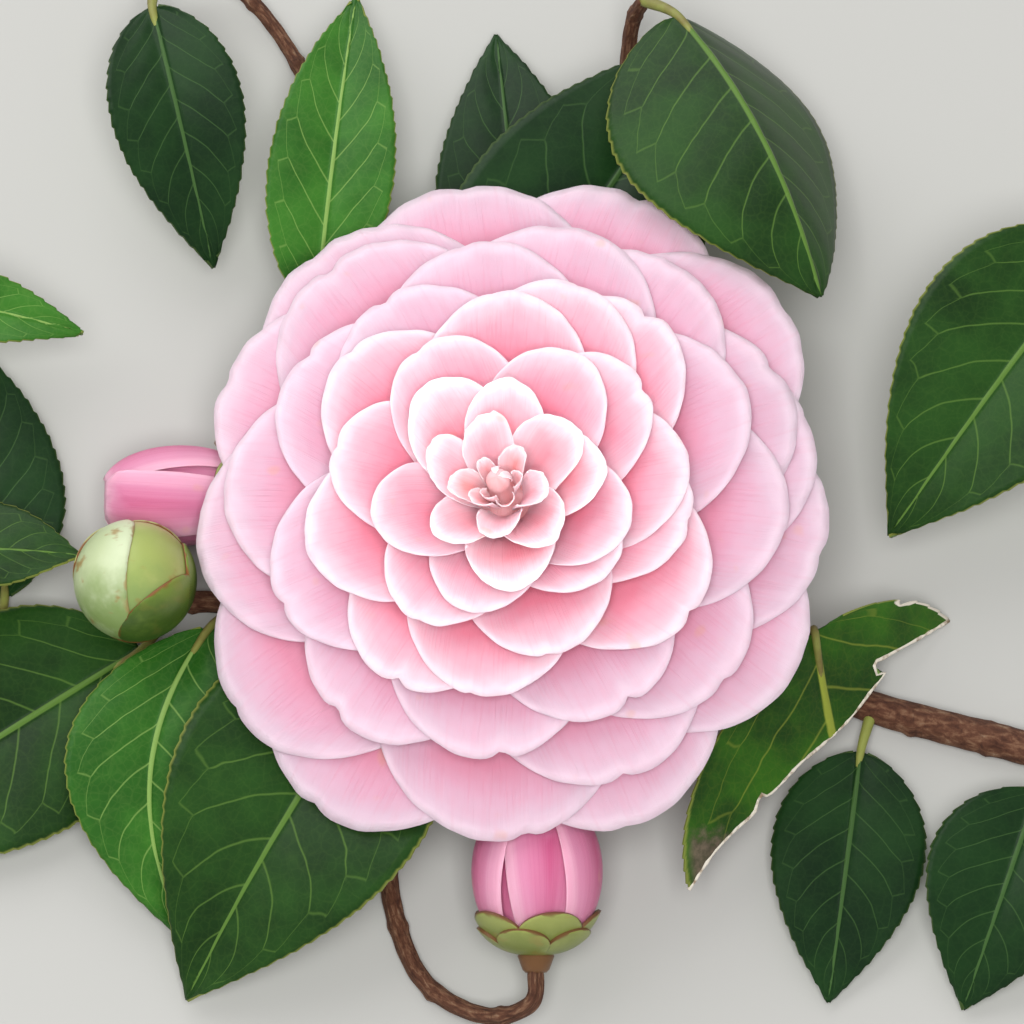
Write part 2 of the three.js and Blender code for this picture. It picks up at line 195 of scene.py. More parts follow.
def bezier(points, share):
    share = np.asarray(share, float)[..., None]
    rest = 1 - share
    weights = [rest**3, 3 * rest**2 * share, 3 * rest * share**2, share**3]
    return sum(weight * np.asarray(point, float) for weight, point in zip(weights, points))


def bezier_slope(points, share):
    p = [np.asarray(point, float) for point in points]
    share = np.asarray(share, float)[..., None]
    rest = 1 - share
    slope = rest**2 * (p[1] - p[0]) + 2 * rest * share * (p[2] - p[1]) + share**2 * (p[3] - p[2])
    return unit(slope)


def travelled(line):
    """How far along a line each of its points is."""
    steps = np.linalg.norm(np.diff(np.asarray(line, float), axis=0), axis=1)
    return np.concatenate([[0], np.cumsum(steps)])


def bezier_length(points):
    return travelled(bezier(points, np.linspace(0, 1, 200)))[-1]


def catmull_rom(path, steps):
    """Evenly spaced points on a centripetal Catmull-Rom curve through a path."""
    path = np.asarray(path, float)
    ends = [2 * path[0] - path[1], 2 * path[-1] - path[-2]]
    knots = np.concatenate([ends[:1], path, ends[1:]])
    gaps = np.maximum(np.linalg.norm(np.diff(knots, axis=0), axis=1), 1e-4) ** 0.5
    fine = []
    for i in range(len(path) - 1):
        p0, p1, p2, p3 = knots[i : i + 4]
        d0, d1, d2 = gaps[i : i + 3]
        start = ((p1 - p0) / d0 - (p2 - p0) / (d0 + d1) + (p2 - p1) / d1) * d1
        finish = ((p2 - p1) / d1 - (p3 - p1) / (d1 + d2) + (p3 - p2) / d2) * d1
        corners = [p1, p1 + start / 3, p2 - finish / 3, p2]
        fine.append(bezier(corners, np.linspace(0, 1, 40, endpoint=False)))
    fine = np.concatenate([*fine, path[-1:]])
    far = travelled(fine)
    wanted = np.linspace(0, far[-1], steps + 1)
    return np.stack([np.interp(wanted, far, fine[:, axis]) for axis in range(3)], axis=1)


def carried_frames(line):
    """For each point of a line two sideways directions that turn with it."""
    tangents = unit(np.gradient(line, axis=0))
    side = unit(np.cross(tangents[0], [0.3, 0.2, 1.0]))
    sides = []
    for tangent in tangents:
        side = unit(side - tangent * np.dot(side, tangent))
        sides.append(side)
    sides = np.array(sides)
    return sides, np.cross(tangents, sides)


def add_tube(piece, line, radius, slot=0):
    """A round tube along a line, with flat caps; radius is a grid of (points, sides)."""
    first, second = carried_frames(line)
    turns = full_turn(radius.shape[1])
    around = np.cos(turns)[:, None] * first[:, None] + np.sin(turns)[:, None] * second[:, None]
    points = line[:, None] + around * radius[..., None]
    start_cap = line[0] + (points[:1] - line[0]) * CAP_HOLE
    end_cap = line[-1] + (points[-1:] - line[-1]) * CAP_HOLE
    points = np.concatenate([start_cap, points, end_cap])
    far = travelled(line)
    along = np.concatenate([[0], far, far[-1:]])[:, None]
    piece.add_grid(points, stacked(turns / (2 * math.pi), along * 0.02), slot, closed=True)


def add_limb(piece, path, radii, sides=TWIG_SIDES, step=1.0, swell=None, slot=0):
    """A round limb along a smooth path, tapering from its start to its end."""
    length = travelled(path)[-1]
    steps = max(6, int(length / step))
    share = np.linspace(0, 1, steps + 1)[:, None]
    radius = (radii[0] + (radii[1] - radii[0]) * share) * np.ones(sides)
    if swell:
        radius = radius + swell(share * length, full_turn(sides))
    add_tube(piece, catmull_rom(path, steps), radius, slot)


def add_turned(piece, profile, stand, foot, v=1.0):
    """A solid of revolution, from points given as distance from its axis and height, upwards."""
    out, up = np.hsplit(np.asarray(profile, float), 2)
    turns = full_turn(TURNED_SIDES)
    uvs = stacked(turns / (2 * math.pi), v + 0 * up)
    piece.add_grid(around_axis(out, turns, up) @ stand.T + foot, uvs, closed=True)


def turned_to(axis):
    """The matrix that turns +Z to an axis by the shortest way."""
    turn = Vector((0, 0, 1)).rotation_difference(Vector(axis))
    return np.array(turn.to_matrix())


# Material nodes


def rgb(red, green, blue):
    """A colour from its screen values of 0 to 255, in linear light."""
    shares = np.array([red, green, blue]) / 255
    linear = np.where(shares > 0.04, ((shares + 0.055) / 1.055) ** 2.4, shares / 12.92)
    return (*linear.tolist(), 1.0)


class Look:
    """A material whose pattern is built from nodes, each made by one call."""

    def __init__(self, name):
        self.material = bpy.data.materials.new(name)
        self.material.use_nodes = True
        self.tree = self.material.node_tree
        self.shader = self.tree.nodes["Principled BSDF"]

    def node(self, kind, inputs=(), **settings):
        made = self.tree.nodes.new("ShaderNode" + kind)
        for key, value in settings.items():
            setattr(made, key, value)
        for key, value in dict(inputs).items():
            self.put(made.inputs[key], value)
        return made

    def put(self, socket, value):
        if isinstance(value, bpy.types.NodeSocket):
            self.tree.links.new(value, socket)
        elif value is not None:
            socket.default_value = value

    def form(self):
        """The form's UV, as two numbers and as a whole."""
        uv = self.node("UVMap", uv_map="Form").outputs["UV"]
        parts = self.node("SeparateXYZ", {"Vector": uv}).outputs
        return parts["X"], parts["Y"], uv

    def from_rim(self):
        """How far a point is from the rim, in millimetres."""
        return self.times(self.form()[1], -RIM_REACH, RIM_REACH)

    def place(self):
        """Where a point is, in metres."""
        return self.node("TexCoord").outputs["Object"]

    def math(self, operation, first, second=None, third=None, clamp=False):
        made = self.node("Math", operation=operation, use_clamp=clamp)
        for socket, value in zip(made.inputs, (first, second, third)):
            self.put(socket, value)
        return made.outputs[0]

    def times(self, value, factor, plus=None):
        """A value times a factor, plus another value."""
        operation = "MULTIPLY" if plus is None else "MULTIPLY_ADD"
        return self.math(operation, value, factor, plus)

    def between(self, value, low, high):
        """0 up to low, 1 from high, and a smooth way between."""
        inputs = {"Value": value, "From Min": low, "From Max": high}
        made = self.node("MapRange", inputs, interpolation_type="SMOOTHSTEP")
        return made.outputs["Result"]

    def noise(self, place, scale, detail, roughness=0.5, distortion=0.0):
        """Cloudy noise from 0 to 1. Its scale is one number, or one for each way."""
        inputs = {"Vector": place, "Scale": np.broadcast_to(scale, 3).tolist()}
        scaled = self.node("Mapping", inputs).outputs["Vector"]
        inputs = {"Vector": scaled, "Scale": 1.0, "Detail": detail, "Roughness": roughness}
        made = self.node("TexNoise", {**inputs, "Distortion": distortion})
        return made.outputs["Fac"]

    def ramp(self, value, stops):
        made = self.node("ValToRGB", {"Fac": value})
        elements = made.color_ramp.elements
        while len(elements) < len(stops):
            elements.new(0.5)
        for element, (place, colour) in zip(elements, stops):
            element.position = place
            element.color = colour
        return made.outputs["Color"]

    def net(self, place, scale, width):
        """1 on the lines of a fine net, 0 in its cells."""
        inputs = {"Vector": place, "Scale": scale}
        made = self.node("TexVoronoi", inputs, feature="DISTANCE_TO_EDGE")
        return self.between(made.outputs["Distance"], width, 0.0)

    def mix(self, below, above, share, strength=None):
        """One colour with another laid over it, as far as the share and the strength say."""
        if strength is not None:
            share = self.times(share, strength)
        made = self.node("Mix", data_type="RGBA")
        self.put(made.inputs["Factor"], share)
        # of its sockets of one name, these are the ones for colours
        self.put(made.inputs[6], below)
        self.put(made.inputs[7], above)
        return made.outputs[2]

    def bump(self, height, distance, strength):
        inputs = {"Height": height, "Distance": distance * MM, "Strength": strength}
        return self.node("Bump", inputs).outputs["Normal"]

    def finish(self, colour, roughness, normal=None, **fixed):
        inputs = {"Base Color": colour, "Roughness": roughness, "Normal": normal, **fixed}
        for name, value in inputs.items():
            self.put(self.shader.inputs[name.replace("_", " ")], value)
        return self.material

    def soften(self, weight, radius):
        """Light that enters the surface and leaves it up to a radius away."""
        self.shader.subsurface_method = "BURLEY"
        inputs = {"Weight": weight, "Radius": (1.0, 0.8, 0.8), "Scale": radius * MM}
        for name, value in inputs.items():
            self.put(self.shader.inputs["Subsurface " + name], value)


# Petals


BLOOM_STAND = turned_to((-math.sin(BLOOM_LEAN), 0, math.cos(BLOOM_LEAN)))


def petal_curve(root, tip, root_pitch, tip_pitch):
    """The profile from a petal's root to its tip, as distance from the axis and height."""
    root, tip = np.array(root, float), np.array(tip, float)
    chord = np.linalg.norm(tip - root)
    out, back = math.radians(root_pitch), math.radians(tip_pitch)
    return [
        root,
        root + 0.45 * chord * np.array([math.cos(out), math.sin(out)]),
        tip - 0.4 * chord * np.array([math.cos(back), math.sin(back)]),
        tip,
    ]


def main_petal(number):
    """One of the open bloom's petals, which are counted from its middle."""
    reach = max(3.2 + 0.35 * number, 1.034 * number - 0.004 * number**2)
    width = 0.56 * reach - 0.0035 * reach**2 + 0.6
    dome_height = 34 - 5 * math.exp(-((reach / 8) ** 2)) - 0.0085 * reach**2
    steepest = 40 + 45 * math.exp(-((reach / 5) ** 2))
    tip_pitch = min(steepest, 100 * math.exp(-reach / 15) - 0.5 * reach)
    root, tip = (1 + 0.08 * reach, 21 - 0.37 * reach), (reach, dome_height)
    return {
        "direction": PETAL_DIRECTIONS[number - 1],
        "reach": reach,
        "width": width,
        "round_length": 0.72 * width,
        "curve": petal_curve(root, tip, 85 - 0.9 * reach, tip_pitch),
    }


def youth(reach):
    """1 for the small angular petals of the heart, 0 for the round ones further out."""
    return min(1.0, max(0.0, (20 - reach) / 10))


def rim_shape(side, reach, chance):
    """How far the rim stands past its smooth round line, in millimetres."""
    ripple = 0
    for size, count, shift_by in zip((0.1, 0.06, 0.03), (8, 19, 37), chance):
        ripple = ripple + size * np.sin(count * side + 6.3 * shift_by)
    corners = 0.6 * np.exp(-np.abs(side - 0.2 - 0.4 * chance[3]) / 0.2)
    corners = corners + 0.55 * np.exp(-np.abs(side + 0.15 + 0.4 * chance[4]) / 0.15)
    depth = 1.6 * min(1.0, max(0.0, (reach - 20) / 8)) * chance[3]
    notch = depth * np.exp(-np.abs(side - 0.3 * (chance[4] - 0.5)) / 0.05)
    small = min(1.0, reach / 10)
    return (corners * small + ripple) * youth(reach) - notch + ripple * min(1.0, reach / 30)


def petal_sheet(petal, chance, columns, rows, start, cup=0.0, keel=0.0, curl=0.0):
    """The middle grid of a petal, from its root to its rim, and the UVs that its look reads."""
    side = np.linspace(-1, 1, columns + 1)[None, :]
    along = (start + (1 - start) * np.linspace(0, 1, rows + 1) ** 0.8)[:, None]
    bend = math.pi / 2 * side
    length = bezier_length(petal["curve"])
    young = youth(petal["reach"])
    tip_at = 0.5 * young * (chance[3] - 0.3)
    from_tip = np.where(side > tip_at, (side - tip_at) / (1 - tip_at), (tip_at - side) / (1 + tip_at))
    drop = 1 - np.cos(math.pi / 2 * from_tip) + 0.3 * young * (from_tip - from_tip**3)
    rim = 1 - drop * petal["round_length"] / length + rim_shape(side, petal["reach"], chance) / length
    share = along * rim
    claw = 0.3 + 0.7 * np.sin(math.pi / 2 * np.minimum(1, along * 1.1))
    across = np.sin(bend) * claw * petal["width"]
    at = bezier(petal["curve"], share)
    turn = math.radians(petal["direction"]) - across / (at[..., 0] + 2)
    points = around_axis(at[..., 0], turn, at[..., 1])
    ripple = 0.15 * np.sin(across * (0.8 + chance[2]) + 5 * chance[3]) * along**4
    ripple = ripple * min(1, petal["reach"] / 30)
    outer = np.clip((along - 0.75) / 0.25, 0, 1) ** 2
    lift = cup * np.sin(bend) ** 2 * along**2 + keel * np.abs(across) * along - curl * outer + ripple
    points = points + grid_normals(points) * lift[..., None]
    from_rim = np.minimum((rim - share) * length, (claw * petal["width"] - np.abs(across)) * 0.9)
    return points, rim_uvs(0.5 + 0.5 * np.sin(bend), np.maximum(from_rim, 0))


def petal_thickness(uvs):
    from_rim = (1 - uvs[..., 1]) * RIM_REACH
    return PETAL_RIM_THICK + (PETAL_THICK - PETAL_RIM_THICK) * np.clip(from_rim / PETAL_TAPER, 0, 1)


def blended(grid, blend):
    """A grid in which each point is blended with the eight round it."""
    rows, columns = grid.shape
    wide = np.pad(grid, 1, mode="edge")
    return blend([wide[i : i + rows, j : j + columns] for i in range(3) for j in range(3)], axis=0)


def finer(grid, times):
    """A grid of points with more points filled in between, along both ways."""
    for axis in (0, 1):
        grid = np.moveaxis(grid, axis, 0)
        wanted = np.linspace(0, len(grid) - 1, times * (len(grid) - 1) + 1)
        low = np.minimum(wanted.astype(int), len(grid) - 2)
        share = (wanted - low)[:, None, None]
        grid = np.moveaxis(grid[low] * (1 - share) + grid[low + 1] * share, 0, axis)
    return grid


def cells_under(points):
    cells = ((points[..., :2] + NEST_REACH) / NEST_CELL).astype(int)
    return cells[..., 1], cells[..., 0]


def nest(points, ceiling):
    """Presses a petal under those inside it, so that none cuts through another, and notes it."""
    press = np.clip(points[..., 2] - ceiling[cells_under(points)] + NEST_GAP, 0, NEST_MOST)
    points[..., 2] -= blended(blended(blended(press, np.max), np.mean), np.mean)
    fine = finer(points, 4)
    np.minimum.at(ceiling, cells_under(fine), fine[..., 2])


PETAL_LOOKS = {
    # colours from the base to the rim, partly the petal's own and partly painted shade at the covered
    # base and painted light at the rim; how far in they fade and how deep light goes, in millimetres
    # Of the open bloom's looks, the heart's and inner ones are paler and the outer ones darker, partly
    # as painted light in the bloom's deep middle and partly as painted shade on its outer rows.
    "petal_heart": [(255, 180, 180), (255, 206, 210), (254, 224, 229), (255, 244, 247), 3.5, 1.8],
    "petal_inner": [(252, 162, 178), (251, 196, 208), (251, 222, 230), (255, 246, 250), 6.8, 1.5],
    "petal_middle": [(240, 142, 164), (235, 168, 187), (232, 194, 207), (240, 222, 231), 8.5, 1.0],
    "petal_outer": [(222, 143, 168), (220, 167, 190), (219, 186, 204), (229, 208, 221), 10.5, 1.0],
    "petal_deep": [(188, 62, 112), (208, 98, 142), (222, 142, 176), (236, 180, 202), 12, 1.0],
}
LOOK_REACHES = [7.5, 18, 34]  # how far the petals of the first three looks reach


def petal_look(name):
    """A petal that pales from its covered base to its rim, partly in its own colour and partly as
    painted shade under the petal that covers it and painted light towards the rim.
    """
    *colours, fade, depth = PETAL_LOOKS[name]
    deep, middle, pale, rim = [rgb(*colour) for colour in colours]
    look = Look(name)
    uv = look.form()[2]
    from_rim = look.from_rim()
    cloud = look.noise(uv, (5, 10, 1), 2.0, 0.55)
    place = look.times(look.math("SUBTRACT", cloud, 0.5), 4.0, from_rim)
    share = look.math("DIVIDE", place, fade, clamp=True)
    # painted shade and light: the ramp is partly the petal's own colour, partly painted shade towards
    # the covered base and painted light towards the rim
    base = look.ramp(share, [(0.0, rim), (0.22, pale), (0.55, middle), (1.0, deep)])
    broad = look.noise(uv, (26, 3, 1), 2.0, 0.6)
    veins = look.noise(uv, (90, 4, 1), 1.0, 0.6)
    veins = look.times(look.between(veins, 0.5, 0.7), look.between(from_rim, 0.5, 0.6 * fade))
    base = look.mix(base, deep, veins, 0.2)
    base = look.mix(base, deep, look.between(broad, 0.5, 0.75), 0.14)
    # painted highlight: the last quarter millimetre before the rim is paled towards the rim colour,
    # where light catches the edge
    base = look.mix(base, rim, look.between(from_rim, 0.25, 0.0), 0.35)
    spots = look.noise(uv, (30, 60, 1), 3.0, 0.7)
    spots = look.times(look.between(spots, 0.74, 0.78), look.between(from_rim, 4.0, 0.3))
    base = look.mix(base, rgb(196, 140, 100), spots, 0.5)
    smudge = look.noise(look.place(), 220, 1.0, 0.5)
    base = look.mix(base, rgb(226, 166, 130), look.between(smudge, 0.7, 0.8), 0.3)
    grain = look.noise(uv, (260, 10, 1), 1.0, 0.5)
    normal = look.bump(look.times(veins, -0.7, grain), 0.1, 0.5)
    look.soften(0.55, depth)
    return look.finish(base, 0.6, normal, Specular_IOR_Level=0.3, Sheen_Weight=0.1)


def build_petals():
    looks = [petal_look(name) for name in PETAL_LOOKS if name != "petal_deep"]
    cells = int(2 * NEST_REACH / NEST_CELL)
    ceiling = np.full((cells, cells), np.inf)
    for number in range(1, len(PETAL_DIRECTIONS) + 1):
        petal = main_petal(number)
        reach = petal["reach"]
        chance = rng.random(6)
        columns, rows = PETAL_GRID
        cup = 0.7 * math.exp(-reach / 16) * min(1, reach / 12) + 0.25
        keel = (0.05 + 0.4 * chance[0]) * math.exp(-reach / 12) * min(1, reach / 10)
        curl = 0.8 * min(1, reach / 40) - 0.5
        points, uvs = petal_sheet(petal, chance, columns, rows, 0.1, cup, keel, curl)
        loose = 0.5 * min(1, (reach / 25) ** 2)
        points[..., 2] += loose * (chance[5] - 0.5) * np.linspace(0, 1, rows + 1)[:, None] ** 2
        points += HEART_OFFSET * math.exp(-((reach / 6) ** 2))
        nest(points, ceiling)
        piece = Piece()
        piece.add_sheet(points @ BLOOM_STAND.T + BLOOM_FOOT, uvs, petal_thickness(uvs))
        look = looks[int(np.searchsorted(LOOK_REACHES, reach))]
        piece.build(f"petal_{number:02d}", [look], "main_bloom")
    return looks


def build_heart(look):
    """The knot of tiny closed petals in the bloom's middle, and the core that all petals grow from."""
    piece = Piece()
    for direction, breadth in ((20, 0.93), (100, 1)):
        top = 30.8 * breadth**0.1
        petal = {
            "direction": direction,
            "reach": 3,
            "width": 1.3,
            "round_length": 0.8,
            "curve": [(1.2, 26.2), (2.5 * breadth, 27.2), (2.2 * breadth, 30.4), (0.5, top)],
        }
        points, uvs = petal_sheet(petal, 0.4 * rng.random(6), 24, 24, 0.2)
        piece.add_sheet((points + HEART_OFFSET) @ BLOOM_STAND.T + BLOOM_FOOT, uvs, 0.15)
    core = [(0.1, 3), (5, 4), (7, 10), (6.5, 16), (4.8, 21), (2.4, 24), (1.4, 26.2)]
    bead = [(1.5, 27.2), (1.68, 28.2), (1.64, 29), (1.42, 29.7), (1, 30.25), (0.5, 30.5), (0.02, 30.55)]
    add_turned(piece, core + bead, BLOOM_STAND, BLOOM_FOOT + HEART_OFFSET, v=0.94)
    piece.build("bloom_heart", [look], "main_bloom")


def build_bloom():
    looks = build_petals()
    build_heart(looks[0])


# Leaves


LEAVES = {
    "leaf_top_right": dict(stem=(19.4, 80, 17), base=(24, 76, 21.8), tip=(44, 31.6, 26.6),
        width=19, bow=5, roll=-26, fold=-26, look="mid"),
    "leaf_top": dict(stem=(6.2, 14, 1.8), base=(-4, 21, 11), tip=(30, 77, 9),
        width=18.5, bow=5, roll=-4, look="dark"),
    "leaf_top_back": dict(stem=(7.6, 27, 1.7), base=(3, 29, 4), tip=(-2, 80, 2.5),
        width=12, bow=3, fold=8, look="dark"),
    "leaf_upper_left": dict(stem=(-19.6, 36.5, 1.5), base=(-28, 35, 8), tip=(-22.5, 84, 8),
        width=9.5, bow=5, look="bright"),
    "leaf_far_upper_left": dict(stem=(-51.7, 84, 12), base=(-52, 80, 14.5), tip=(-42.9, 42, 8),
        width=10, bow=4, look="dark"),
    "leaf_right": dict(stem=(88, 45.6, 11.5), base=(86, 43.5, 17), tip=(54, 0.2, 13),
        width=16.5, bow=5, look="mid"),
    "leaf_torn": dict(stem=(43, -18.4, 2.4), base=(43, -14.4, 16.3), tip=(61.3, -60.5, -27),
        width=29, bow=2.2, swing=4.7, roll=-25, roundness=0.52, fold=2, look="torn"),
    "leaf_lower_right": dict(stem=(52, -22, 2.4), base=(50, -29, 4), tip=(45, -65, 2),
        width=11, bow=2, fold=6, look="dark"),
    "leaf_far_right": dict(stem=(76, -29, 2.5), base=(75, -35, 5), tip=(64, -66, 2),
        width=12, bow=4, look="dark"),
    "leaf_bottom": dict(stem=(-10, -9, 1.9), base=(-15, -15, 10), tip=(-45.5, -65, 3),
        width=19.5, bow=7, roll=4, look="mid"),
    "leaf_lower_left": dict(stem=(-38, -7.2, 1.8), base=(-42.6, -12, 9), tip=(-45, -57, 2.5),
        width=12.5, bow=4, swing=7, fold=8, look="bright"),
    "leaf_left_low": dict(stem=(-48, -6.6, 1.8), base=(-52.5, -14, 4.5), tip=(-99, -44, 2),
        width=17, bow=1, fold=8, look="mid"),
    "leaf_left_upright": dict(stem=(-91.5, 1.5, 3.4), base=(-89.5, -2, 12.5), tip=(-60.5, -2.4, 11.5),
        width=9.5, bow=1, roll=-30, look="mid"),
    "leaf_left_back": dict(stem=(-74, -11.4, 1.8), base=(-72.5, -6, 2.6), tip=(-79, 33, 4),
        width=11, bow=0.5, fold=5, look="dark"),
    "leaf_left_small": dict(stem=(-94.7, 34, 10.2), base=(-91.5, 37, 13), tip=(-61.2, 30.6, 13),
        width=6, bow=2, look="bright"),
}
LEAF_ROUNDNESS = 0.65
LEAF_FOLD = 14
LEAF_TIP_TAPER = 1
LEAF_CURL = 0.1
LEAF_START, LEAF_END = 0.03, 0.975
LEAF_HALF_THICK = 0.4
BLADE_START, BLADE_END = 0.006, 0.997  # the fine blades run on to a point
BLADE_THICK = 0.3
RIB_THICK = 0.22  # what the midrib adds to that
TOOTH_LENGTH = 1.9
TOOTH_DEPTH = 0.34
STALK_RADII = (0.95, 0.4)
FACE, UNDERSIDE, STALK, TORN_EDGE = range(4)  # the order of a leaf's materials
VEIN_PAIRS = 7
VEIN_LEAN = 0.28  # how far a side vein runs on towards the tip, as a share of the leaf's length

# The torn leaf's end: how far along the leaf it lies, from the edge at the right to the left one
TEAR = [
    (-1, 0.178), (-0.77, 0.165), (-0.48, 0.149), (-0.4, 0.147), (-0.38, 0.17),
    (-0.44, 0.179), (-0.3, 0.198), (-0.05, 0.23), (0.24, 0.243), (0.47, 0.263),
    (0.52, 0.251), (0.55, 0.275), (0.69, 0.291), (0.83, 0.312), (1, 0.36),
]
NICK_AT = 0.068  # how far along its right margin the torn leaf has a small nick
NICK_LENGTH = 0.008
NICK_DEPTH = 1.3


def half_width(leaf, share):
    """Half the width of a leaf, a share of its length away from its base."""
    roundness = leaf.get("roundness", LEAF_ROUNDNESS)
    widest = roundness / (roundness + LEAF_TIP_TAPER)
    most = widest**roundness * (1 - widest) ** LEAF_TIP_TAPER
    return leaf["width"] * (share**roundness * np.clip(1 - share, 0, 1) ** LEAF_TIP_TAPER / most)


def leaf_axes(leaf):
    along = unit(np.subtract(leaf["tip"], leaf["base"]))
    level = unit(np.cross(along, [0, 0, 1]))
    turn = Quaternion(Vector(along), math.radians(leaf.get("roll", 0)))
    across = np.array(turn @ Vector(level))
    return across, np.cross(across, along)


def leaf_points(leaf, side, share, spread=0.0):
    """Points of a leaf's face; spread widens the blade, in millimetres."""
    across, up = leaf_axes(leaf)
    arch = 4 * share * (1 - share)
    out = side * (half_width(leaf, share) + spread)
    fold = math.radians(leaf.get("fold", LEAF_FOLD))
    rise = np.abs(out) * math.sin(fold) - LEAF_CURL * out * out / leaf["width"]
    up_by = arch * leaf["bow"] + rise
    across_by = arch * leaf.get("swing", 0) + out * math.cos(fold)
    line = leaf["base"] + share[..., None] * np.subtract(leaf["tip"], leaf["base"])
    return line + up_by[..., None] * up + across_by[..., None] * across


def vein_phase(side, share):
    """Counts the side veins; whole numbers lie on a vein. They curve on towards the tip."""
    return (VEIN_PAIRS + 1) * (share - VEIN_LEAN * np.abs(side) ** 1.2) + np.where(side > 0, 0.45, 0.0)


def leaf_relief(leaf, side, share, half):
    """Height in millimetres: low pillows between the veins, and a ridge in a groove on the midrib."""
    off_vein = np.abs((vein_phase(side, share) + 0.5) % 1 - 0.5)
    pillow = 0.07 * np.clip(off_vein / 0.4, 0, 1) * np.clip(1 - np.abs(side) ** 3, 0, 1)
    taper = 1.1 - 0.7 * share
    groove = -0.3 * taper * np.exp(-((side * half / 1.6) ** 2))
    ridge = 0.42 * taper * np.exp(-((side * half / (0.4 * taper)) ** 2))
    wave = 0.45 * np.sin(share * 9 + 2 * side + leaf["width"]) * side**2
    return pillow + groove + ridge + wave


def add_blade(piece, leaf):
    """The blade's two faces and rim. A torn one ends at its tear, with a pale ragged edge."""
    torn = leaf["look"] == "torn"
    columns, rows = LEAF_GRID
    gather = 1.6
    if torn:
        columns, gather = 2 * columns, 1.1
    flat = np.linspace(-1, 1, columns + 1)
    side, along = np.meshgrid(np.sign(flat) * np.abs(flat) ** gather, np.linspace(0, 1, rows + 1))
    share = BLADE_START + (BLADE_END - BLADE_START) * along
    if torn:
        side, share = up_to_tear(side, along)
    half = half_width(leaf, share)
    length = np.linalg.norm(np.subtract(leaf["tip"], leaf["base"]))
    teeth = (share * length / TOOTH_LENGTH) % 1
    spread = TOOTH_DEPTH * (teeth - 0.5) * np.clip(np.abs(side) * 8 - 7, 0, 1)
    if torn:
        at_nick = np.exp(-(((share - NICK_AT) / NICK_LENGTH) ** 2))
        spread = spread - NICK_DEPTH * at_nick * np.clip(-side * 8 - 7, 0, 1)
    points = leaf_points(leaf, side, share, spread)
    points = points + grid_normals(points) * leaf_relief(leaf, side, share, half)[..., None]
    thick = BLADE_THICK + RIB_THICK * np.exp(-((side * half / 1.2) ** 2))
    piece.add_sheet(points, stacked(0.5 + 0.5 * side, share), thick, slots=(FACE, UNDERSIDE))
    if torn:
        fray = rng.random((columns + 1, 1)) * np.ones(10)
        add_tube(piece, points[-1], 0.2 + 0.16 * fray, TORN_EDGE)


def up_to_tear(side, along):
    """Squeezes a whole leaf's grid towards its base, so that its last row lies on the tear."""
    line = catmull_rom([(at, share, 0) for at, share in TEAR], 400)
    place = np.interp(side[-1], np.linspace(-1, 1, len(line)), np.arange(len(line)))
    tear_side = np.interp(place, np.arange(len(line)), line[:, 0])
    tear_share = np.interp(place, np.arange(len(line)), line[:, 1])
    share = BLADE_START + (tear_share - BLADE_START) * along
    return side + (tear_side - side) * along**4, share


def add_damage(look, base, side, v):
    """The torn leaf's brown patch at its left end, and the cream of its nicked margin at the right."""
    fleck = look.noise(look.place(), 420, 4.0, 0.65)
    patch = look.times(look.math("SUBTRACT", fleck, 0.5), 0.1, look.times(side, 0.25, v))
    patch = look.times(look.between(patch, 0.455, 0.505), look.between(side, 0.99, 0.93))
    brown = look.mix(rgb(78, 64, 58), rgb(120, 100, 90), look.between(fleck, 0.35, 0.65))
    base = look.mix(base, brown, patch, 0.8)
    off_nick = look.math("ABSOLUTE", look.math("SUBTRACT", v, NICK_AT))
    wide = look.times(look.between(off_nick, 0.02, 0.012), 0.05, 0.025)
    depth = look.math("DIVIDE", look.math("ADD", side, 1.0), wide)
    before_nick = look.between(v, NICK_AT - 0.02, NICK_AT - 0.012)
    cream = look.times(look.between(depth, 1.0, 0.7), before_nick)
    return look.mix(base, rgb(226, 218, 202), cream)


LEAF_LOOKS = {
    # colours of the shaded green, the light green, the veins and the edge; how strong the veins are
    "dark": [(14, 38, 17), (26, 58, 24), (66, 98, 50), (64, 84, 40), 0.55],
    "mid": [(20, 46, 15), (36, 73, 24), (92, 126, 54), (134, 142, 66), 0.55],
    "bright": [(36, 84, 24), (60, 118, 38), (138, 172, 90), (134, 142, 66), 0.55],
    "torn": [(26, 56, 16), (54, 104, 22), (150, 160, 62), (134, 142, 66), 0.4],
}


def leaf_veins(look, side, off, v, place):
    """Where the side veins, which end in loops, and the midrib lie, each from 0 to 1."""
    warp = look.math("SUBTRACT", look.noise(place, 120, 2.0), 0.5)
    right = look.times(look.math("GREATER_THAN", side, 0.0), 0.45)
    lean = look.times(look.math("POWER", off, 1.2), -VEIN_LEAN)
    phase = look.times(look.math("ADD", v, lean), VEIN_PAIRS + 1.0, right)
    phase = look.math("ADD", phase, look.times(look.times(warp, 0.9), off))
    away = look.math("PINGPONG", phase, 0.5)
    past_loop = look.math("SUBTRACT", off, look.times(away, 0.3, 0.7))
    veins = look.math("DIVIDE", away, look.times(off, -0.02, 0.05))
    veins = look.between(look.math("SUBTRACT", 1.0, veins, clamp=True), 0.0, 1.0)
    veins = look.times(veins, look.between(past_loop, 0.05, -0.05))
    loops = look.between(look.math("ABSOLUTE", past_loop), 0.014, 0.0)
    veins = look.math("MAXIMUM", veins, look.times(loops, 0.6))
    rib = look.math("DIVIDE", off, look.times(v, -0.02, 0.036))
    return veins, look.between(look.math("SUBTRACT", 1.0, rib, clamp=True), 0.0, 0.5)


